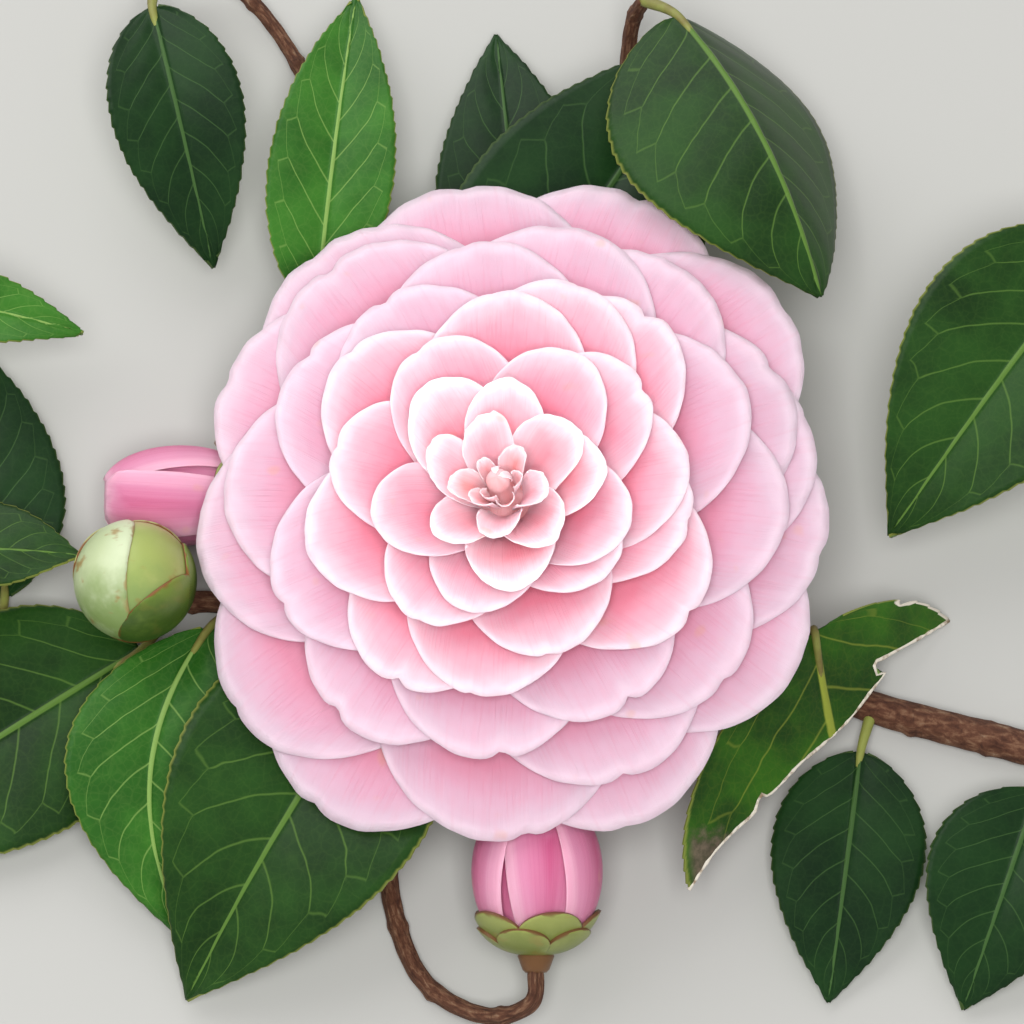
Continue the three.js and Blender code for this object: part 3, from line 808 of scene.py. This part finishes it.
def leaf_look(kind):
    *colours, strength = LEAF_LOOKS[kind]
    dark, bright, vein, edge = [rgb(*colour) for colour in colours]
    look = Look("leaf_" + kind)
    u, v, _ = look.form()
    side = look.times(u, 2.0, -1.0)
    off = look.math("ABSOLUTE", side)
    place = look.place()
    cloud = look.noise(place, 70, 3.0, 0.6)
    grain = look.noise(place, 2600, 2.0)
    veins, rib = leaf_veins(look, side, off, v, place)
    base = look.mix(dark, bright, look.between(cloud, 0.3, 0.7))
    base = look.mix(base, bright, grain, 0.12)
    base = look.mix(base, vein, look.net(place, 300, 0.06), 0.07 * strength)
    base = look.mix(base, vein, look.net(place, 900, 0.12), 0.08 * strength)
    base = look.mix(base, vein, veins, strength)
    base = look.mix(base, vein, rib, 0.9)
    base = look.mix(base, edge, look.between(off, 0.972, 0.998), 0.8)
    if kind == "torn":
        base = add_damage(look, base, side, v)
    normal = look.bump(look.times(veins, -0.3, look.times(grain, 0.12)), 0.1, 0.5)
    return look.finish(base, look.times(cloud, 0.2, 0.3), normal, Specular_IOR_Level=0.25)


def underside_look():
    look = Look("leaf_underside")
    u, _, uv = look.form()
    off = look.math("ABSOLUTE", look.times(u, 2.0, -1.0))
    rib = look.between(off, 0.07, 0.02)
    cloud = look.noise(uv, (4, 6, 1), 4.0)
    base = look.mix(rgb(98, 128, 62), rgb(124, 150, 84), cloud)
    base = look.mix(base, rgb(168, 182, 110), rib)
    normal = look.bump(look.noise(uv, (60, 90, 1), 2.0), 0.1, 0.5)
    return look.finish(base, 0.6, normal)


def stalk_look():
    look = Look("leaf_stalk")
    cloud = look.noise(look.place(), 160, 4.0)
    base = look.mix(rgb(142, 150, 74), rgb(116, 104, 56), look.between(cloud, 0.35, 0.65))
    return look.finish(base, 0.5, look.bump(cloud, 0.1, 0.5))


def torn_edge_look():
    look = Look("torn_edge")
    cloud = look.noise(look.place(), 900, 4.0)
    pale = [(0.5, rgb(226, 218, 202)), (1.0, rgb(240, 234, 222))]
    base = look.ramp(cloud, [(0.3, rgb(150, 128, 104)), *pale])
    return look.finish(base, 0.85, look.bump(cloud, 0.2, 0.8))


def build_leaves():
    looks = {kind: leaf_look(kind) for kind in LEAF_LOOKS}
    others = [underside_look(), stalk_look(), torn_edge_look()]
    for name, leaf in LEAVES.items():
        piece = Piece()
        add_blade(piece, leaf)
        _, up = leaf_axes(leaf)
        in_blade = leaf_points(leaf, np.array(0.0), np.array(0.14)) - 0.3 * up
        path = [leaf["stem"], leaf["base"], in_blade]
        add_limb(piece, path, STALK_RADII, sides=12, step=0.8, slot=STALK)
        piece.build(name + "_blade", [looks[leaf["look"]], *others], name)


# Twigs


TWIGS = {
    # radius at its start and at its end, and the points on its way
    "main_twig": (2.5, 1.9, [
        (84, -31.2, 2.5), (70, -27.2, 2.5), (50.4, -21.6, 2.4), (38.9, -16.6, 2.3), (20, -8, 2.3),
        (7, -2.6, 2.7), (2.8, -0.2, 4.6), (2, 1, 7.2),
    ]),
    "left_twig": (1.9, 1, [
        (14, -5.6, 2.4), (-5, -9, 1.9), (-25, -8, 1.8), (-50, -6.5, 1.8), (-70, -12, 1.7),
        (-88, -6, 2.2), (-94, 8, 4), (-96, 22, 6.5), (-94.6, 34.5, 10.5),
    ]),
    "top_twig": (1.8, 1, [
        (8, -3.2, 2.6), (6, 8, 1.8), (8, 30, 1.6), (16, 56, 1.5), (17, 72, 4), (18, 79, 11),
        (19.5, 80, 17.5),
    ]),
    "upper_left_twig": (1.5, 0.9, [
        (6, 10, 1.8), (-8, 22, 1.6), (-20, 37, 1.5), (-26, 56, 1.5), (-30, 73, 2), (-40, 86, 5),
        (-50, 87, 9), (-52, 83.5, 12.5),
    ]),
    "bud_twig": (1.4, 1.3, [
        (-50, -6.5, 1.8), (-52.6, -4.6, 2.8), (-53.6, -3.8, 5.4), (-53.4, -4.4, 8.2),
    ]),
    "left_bloom_twig": (1.3, 1.2, [
        (-20, -8, 1.9), (-23, -3, 2.4), (-27, 5, 6), (-33.6, 7.5, 8.3),
    ]),
    "right_twig": (1.7, 1, [
        (77, -29.2, 2.5), (85, -14, 1.8), (90, 12, 1.6), (91, 34, 4), (88, 46, 12),
    ]),
    "low_twig": (1.6, 1.1, [
        (-14, -9, 1.9), (-16, -30, 1.6), (-17, -48, 1.6), (-12, -62, 2), (-3, -67.5, 4.5),
        (3.2, -66, 8), (3.7, -61.4, 9.4),
    ]),
}


def bark_relief(seed):
    """Swelling of a twig in millimetres: lengthwise ridges, and a ring at each old leaf scar."""
    chance = np.random.default_rng(seed).random(8)

    def swell(along, turn):
        ridges = 0.07 * np.sin(7 * turn + 0.5 * np.sin(along * 0.4 + 6 * chance[0]))
        ridges = ridges + 0.05 * np.sin(3 * turn + along * 0.16 + 6 * chance[1])
        place = (along + 6 * chance[2]) % 11.0 - 5.5
        scar = 0.34 * np.exp(-((place / 0.7) ** 2)) * (0.6 + 0.4 * np.cos(turn - 6 * chance[3] - along))
        lumps = 0.06 * np.sin(along * 1.1 + 2 * turn) * np.sin(along * 0.63 + turn * 3)
        return ridges + scar + lumps

    return swell


def bark_look():
    look = Look("bark")
    uv = look.form()[2]
    long_grain = look.noise(uv, (14, 22, 1), 6.0, 0.65, 0.4)
    cross = look.noise(uv, (5, 60, 1), 5.0, 0.6)
    lighter = [(0.62, rgb(126, 92, 70)), (0.75, rgb(150, 128, 106))]
    base = look.ramp(long_grain, [(0.3, rgb(58, 34, 26)), (0.5, rgb(96, 62, 46)), *lighter])
    base = look.mix(base, rgb(70, 44, 34), look.between(cross, 0.55, 0.75))
    normal = look.bump(look.math("ADD", long_grain, cross), 0.3, 0.9)
    return look.finish(base, 0.82, normal)


def build_twigs():
    bark = bark_look()
    for number, (name, (start, end, path)) in enumerate(TWIGS.items()):
        piece = Piece()
        add_limb(piece, path, (start, end), step=0.5, swell=bark_relief(number))
        piece.build(name + "_bark", [bark], name)
    build_cut_end()


def build_cut_end():
    """The pale wood where the sprig was cut off its shrub."""
    radius, _, path = TWIGS["main_twig"]
    axis = np.subtract(path[0], path[1])
    look = Look("cut_wood")
    grain = look.noise(look.place(), 1500, 4.0)
    base = look.mix(rgb(206, 190, 150), rgb(170, 146, 104), grain)
    look.finish(base, 0.8, look.bump(grain, 0.15, 0.7))
    piece = Piece()
    disc = [(0.1, -0.25), (radius - 0.3, -0.2), (radius - 0.3, 0.1), (0.4, 0.12), (0.1, 0.0)]
    add_turned(piece, disc, turned_to(unit(axis)), path[0])
    piece.build("cut_end", [look.material], "main_twig")


# Half-open blooms, the bud and the sepals


CLOSED_FORMS = {
    "left_bloom": dict(foot=(-36.5, 7.6, 8.4), axis=(-1, -0.02, 0.03), length=21, radius=7.9, mouth=3),
    "low_bloom": dict(foot=(3.7, -58.5, 9.6), axis=(0, 0.95, 0.25), length=19, radius=9.3, mouth=5),
    "bud": dict(foot=(-53.3, -4.8, 8.8), axis=(0.04, -0.28, 0.93), length=20, radius=9.1, mouth=0.9),
}
HALF_OPEN_PETALS = 11
SEPAL_THICK = 0.45
SCALE_THICK = 0.4


def closed_curve(form, breadth):
    root = 0.15 * form["radius"]
    tip = form["mouth"] * breadth
    bulge = (form["radius"] * breadth - 0.125 * (root + tip)) / 0.75
    length = form["length"]
    return [(root, 0), (bulge, 0.02 * length), (bulge, 0.9 * length), (tip, length)]


def build_half_open(name, petal_skin, sepal_skin):
    form = CLOSED_FORMS[name]
    stand, foot = turned_to(form["axis"]), np.array(form["foot"])
    for k in range(HALF_OPEN_PETALS):
        petal = {
            "direction": 40 + GOLDEN_ANGLE * k,
            "reach": form["radius"] + 8,
            "width": 0.85 * form["radius"],
            "round_length": 0.62 * form["radius"],
            "curve": closed_curve(form, 0.6 + 0.39 * k / (HALF_OPEN_PETALS - 1)),
        }
        points, uvs = petal_sheet(petal, rng.random(6), 32, 24, 0.06, curl=0.5)
        piece = Piece()
        piece.add_sheet(points @ stand.T + foot, uvs, petal_thickness(uvs))
        piece.build(f"{name}_petal_{k + 1:02d}", [petal_skin], name)
    foot_ring = [(0.1, -3.7), (1.5, -3.7), (1.9, -3.3), (2.6, -1.4), (1.4, 0.4), (0.1, 0.6)]
    rows = [(0, 0.36, 0.72, 0.6), (36, 0.27, 0.66, 1.05)]
    build_calyx(name + "_calyx", closed_curve(form, 1), rows, foot_ring, stand, foot, sepal_skin)


def build_main_calyx(sepal_skin):
    curve = main_petal(len(PETAL_DIRECTIONS))["curve"]
    foot_ring = [(0.1, -0.1), (3, -0.1), (3.6, 0.6), (6, 2.4), (4, 4), (0.1, 4)]
    rows = [(0, 0.36, 0.95, 1.3), (36, 0.27, 0.8, 1.9), (15, 0.16, 0.7, 2.4)]
    build_calyx("main_calyx", curve, rows, foot_ring, BLOOM_STAND, BLOOM_FOOT, sepal_skin)


def build_calyx(name, curve, rows, foot_ring, stand, foot, look):
    """Rows of five sepals that lap over each other, on a rounded foot."""
    piece = Piece()
    for first, last, width, lift in rows:
        for k in range(5):
            points, uvs = sepal(curve, first + 72 * k, width, last, lift)
            piece.add_sheet(points @ stand.T + foot, uvs, SEPAL_THICK)
    add_turned(piece, foot_ring, stand, foot)
    piece.build(name + "_sepals", [look], name)


def sepal(curve, direction, width, last, lift):
    """A rounded sepal under the first part of a profile; width is its half-angle in radians."""
    side = np.linspace(-1, 1, 21)[None, :]
    along = np.linspace(0.02, 1, 17)[:, None]
    bend = math.pi / 2 * side
    share = last * along * (0.5 + 0.5 * np.cos(bend))
    at, slope = bezier(curve, share), bezier_slope(curve, share)
    out = at[..., 0] + slope[..., 1] * lift
    up = at[..., 1] - slope[..., 0] * lift
    turn = math.radians(direction) - np.sin(bend) * width
    length = last * bezier_length(curve)
    from_rim = np.minimum((1 - along) * length, (1 - np.abs(side)) * 6)
    return around_axis(out, turn, up), rim_uvs(0.5 + 0.3 * np.sin(bend), from_rim)


SEPAL_LOOKS = {
    # colours of the base, the tip, the low side (painted shade, towards -Y) and the rim; how strong the
    # brown blotches are
    "bud_pale": [(188, 202, 156), (204, 216, 178), (134, 158, 92), (170, 150, 96), 0.8],
    "bud_olive": [(160, 174, 96), (182, 188, 120), (134, 158, 92), (128, 76, 40), 0.5],
    "bud_green": [(84, 114, 40), (112, 136, 56), (62, 88, 30), (128, 76, 40), 0.1],
    "sepals": [(118, 130, 60), (150, 158, 88), (118, 130, 60), (112, 78, 48), 0.3],
}


def sepal_look(name):
    """A sepal that is lighter near its rim, with a thin brown rim and painted shade that darkens it
    towards -Y, away from the light above.
    """
    *colours, blotches = SEPAL_LOOKS[name]
    body, tip, low, edge = [rgb(*colour) for colour in colours]
    look = Look(name)
    from_rim = look.from_rim()
    place = look.place()
    cloud = look.noise(place, 260, 3.0, 0.6)
    base = look.mix(body, tip, look.between(from_rim, 5.0, 0.5))
    # painted shade: towards -Y of the piece's box the colour goes over to the low side's darker colour,
    # as on the side turned from the light
    whole = look.node("TexCoord").outputs["Generated"]
    up = look.node("SeparateXYZ", {"Vector": whole}).outputs["Y"]
    up = look.times(look.math("SUBTRACT", cloud, 0.5), 0.5, up)
    base = look.mix(base, low, look.between(up, 0.6, 0.05))
    base = look.mix(base, tip, look.between(cloud, 0.5, 0.75), 0.3)
    spots = look.noise(place, (200, 330, 200), 3.0, 0.6)
    spots = look.times(look.between(spots, 0.58, 0.7), blotches)
    base = look.mix(base, rgb(160, 124, 66), spots)
    patches = look.noise(place, 300, 2.0)
    wobble = look.times(look.between(patches, 0.45, 0.7), 0.9, 0.04)
    base = look.mix(base, edge, look.between(from_rim, wobble, 0.0))
    normal = look.bump(look.noise(place, 900, 3.0), 0.08, 0.4)
    look.soften(0.15, 1.0)
    return look.finish(base, 0.4, normal, Specular_IOR_Level=0.45)


def on_bud(form, directions):
    """Points of the bud's skin in given directions from its middle."""
    middle = 0.5 * form["length"]
    profile = bezier(closed_curve(form, 0.96), np.linspace(0, 1, 160))
    profile = np.concatenate([[[0, 0]], profile, [[0, form["length"]]]])
    angles = np.arctan2(profile[:, 1] - middle, profile[:, 0])
    reach = np.hypot(profile[:, 0], profile[:, 1] - middle)
    order = np.argsort(angles)
    flat = np.hypot(directions[..., 0], directions[..., 1])
    angle = np.arctan2(directions[..., 2], flat)
    distance = np.interp(angle, angles[order], reach[order])
    return directions * distance[..., None] + np.array([0, 0, middle])


def add_scale(piece, form, towards, opening, layer, squash, stand, foot):
    """A rounded scale that hugs the bud: all that lies within an angle of a direction."""
    rows, columns = SCALE_GRID
    share = np.linspace(0.001, 1, rows)[:, None]
    turn = full_turn(columns)
    opened = math.radians(opening) * (1 + (squash - 1) * np.cos(turn) ** 2)
    angle = opened * share
    ways = unit(around_axis(np.sin(angle), turn, np.cos(angle)) @ turned_to(towards).T)
    skin = on_bud(form, ways)
    edge = np.clip((share - 0.94) / 0.06, 0, 1) ** 2
    outer = skin + ways * (layer + SCALE_THICK * (1 - 0.6 * edge))[..., None]
    inner = skin[::-1] + ways[::-1] * layer
    uvs = rim_uvs(0.5 + 0.3 * np.cos(turn), (1 - share) * opened * form["radius"])
    points = np.concatenate([outer, inner]) @ stand.T + foot
    piece.add_grid(points, np.concatenate([uvs, uvs[::-1]]), closed=True)


BUD_SCALES = [
    # name, direction it faces, opening angle, squash towards the tip, layer, look
    ("bud_core", (0.0, 0.0, 1.0), 178, 1.0, -0.35, "olive"),
    ("bud_scale_top", (0.45, 0.35, 0.82), 70, 1.0, 0.0, "olive"),
    ("bud_scale_left", (-0.97, 0.0, 0.24), 87, 0.81, 0.4, "pale"),
    ("bud_scale_low", (0.6, -0.72, 0.35), 53, 1.0, 0.5, "green"),
    ("bud_scale_right", (1.0, 0.0, -0.1), 38, 1.0, 0.5, "green"),
    ("bud_scale_foot_left", (-0.6, 0.3, -0.75), 36, 1.0, 0.85, "olive"),
    ("bud_scale_foot_low", (0.0, -0.62, -0.78), 36, 1.0, 0.9, "green"),
    ("bud_scale_foot_back", (0.3, 0.6, -0.74), 36, 1.0, 0.4, "olive"),
]


def build_bud():
    form = dict(CLOSED_FORMS["bud"])
    form["radius"] -= 0.9
    form["length"] -= 1.2
    looks = {tone: sepal_look("bud_" + tone) for tone in ("pale", "olive", "green")}
    stand, foot = turned_to(form["axis"]), np.array(form["foot"])
    for name, towards, opening, squash, layer, tone in BUD_SCALES:
        piece = Piece()
        add_scale(piece, form, towards, opening, layer, squash, stand, foot)
        piece.build(name, [looks[tone]], "bud")


def build_closed_forms():
    deep = petal_look("petal_deep")
    sepals = sepal_look("sepals")
    build_half_open("left_bloom", deep, sepals)
    build_half_open("low_bloom", deep, sepals)
    build_bud()
    build_main_calyx(sepals)


# Floor, light and camera


FLOOR_SIZE = 3.0
SKY_COLOUR = (1.0, 0.98, 0.98, 1)
SKY_STRENGTH = 0.37
LAMPS = [
    # name, place in metres, size, power, and whether it shows in glossy surfaces
    ("key", (-0.4, 0.6, 0.5), 1.1, 5.9, True),
    ("front", (0.0, -0.3, 1.0), 0.5, 8.0, False),
]


def build_floor():
    look = Look("floor")
    look.finish(rgb(190, 190, 186), 0.9)
    mesh = bpy.data.meshes.new("floor")
    corners = [(-1, -1, 0), (1, -1, 0), (1, 1, 0), (-1, 1, 0)]
    mesh.from_pydata((np.array(corners) * FLOOR_SIZE).tolist(), [], [(0, 1, 2, 3)])
    mesh.materials.append(look.material)
    new_object("floor", mesh)


def build_light():
    world = bpy.data.worlds.new("soft sky")
    world.use_nodes = True
    sky = world.node_tree.nodes["Background"].inputs
    sky["Color"].default_value = SKY_COLOUR
    sky["Strength"].default_value = SKY_STRENGTH
    bpy.context.scene.world = world
    for name, place, size, power, mirrored in LAMPS:
        data = bpy.data.lights.new(name, "AREA")
        data.size = size
        data.energy = power
        lamp = new_object(name, data)
        lamp.location = place
        lamp.visible_camera = False
        lamp.visible_glossy = mirrored
        lamp.rotation_euler = (-Vector(place)).to_track_quat("-Z", "Y").to_euler()


def build_camera():
    tilt = math.radians(VIEW_ELEVATION)
    towards = np.array([0, -math.cos(tilt), math.sin(tilt)])
    data = bpy.data.cameras.new("camera")
    data.sensor_width = 36
    data.lens = data.sensor_width * VIEW_DISTANCE / VIEW_WIDTH
    data.clip_start = 0.05
    camera = new_object("camera", data)
    camera.location = (VIEW_CENTRE + towards * VIEW_DISTANCE + shift) * MM
    camera.rotation_euler = (math.radians(90 - VIEW_ELEVATION), 0, 0)
    bpy.context.scene.camera = camera
    bpy.context.scene.view_settings.view_transform = "Standard"


def layout_shift():
    """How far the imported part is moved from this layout, from one leaf's own box."""
    side, along = np.meshgrid(np.linspace(-1, 1, 5), np.linspace(0, 1, 7))
    leaf = LEAVES["leaf_bottom"]
    _, up = leaf_axes(leaf)
    middle = leaf_points(leaf, side, LEAF_START + (LEAF_END - LEAF_START) * along)
    faces = np.stack([middle - up * LEAF_HALF_THICK, middle + up * LEAF_HALF_THICK])
    return np.array(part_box("leaf_bottom")[0]) / MM - faces.min(axis=(0, 1, 2))


shift = layout_shift()
build_floor()
build_light()
build_camera()
build_twigs()
build_leaves()
build_bloom()
build_closed_forms()
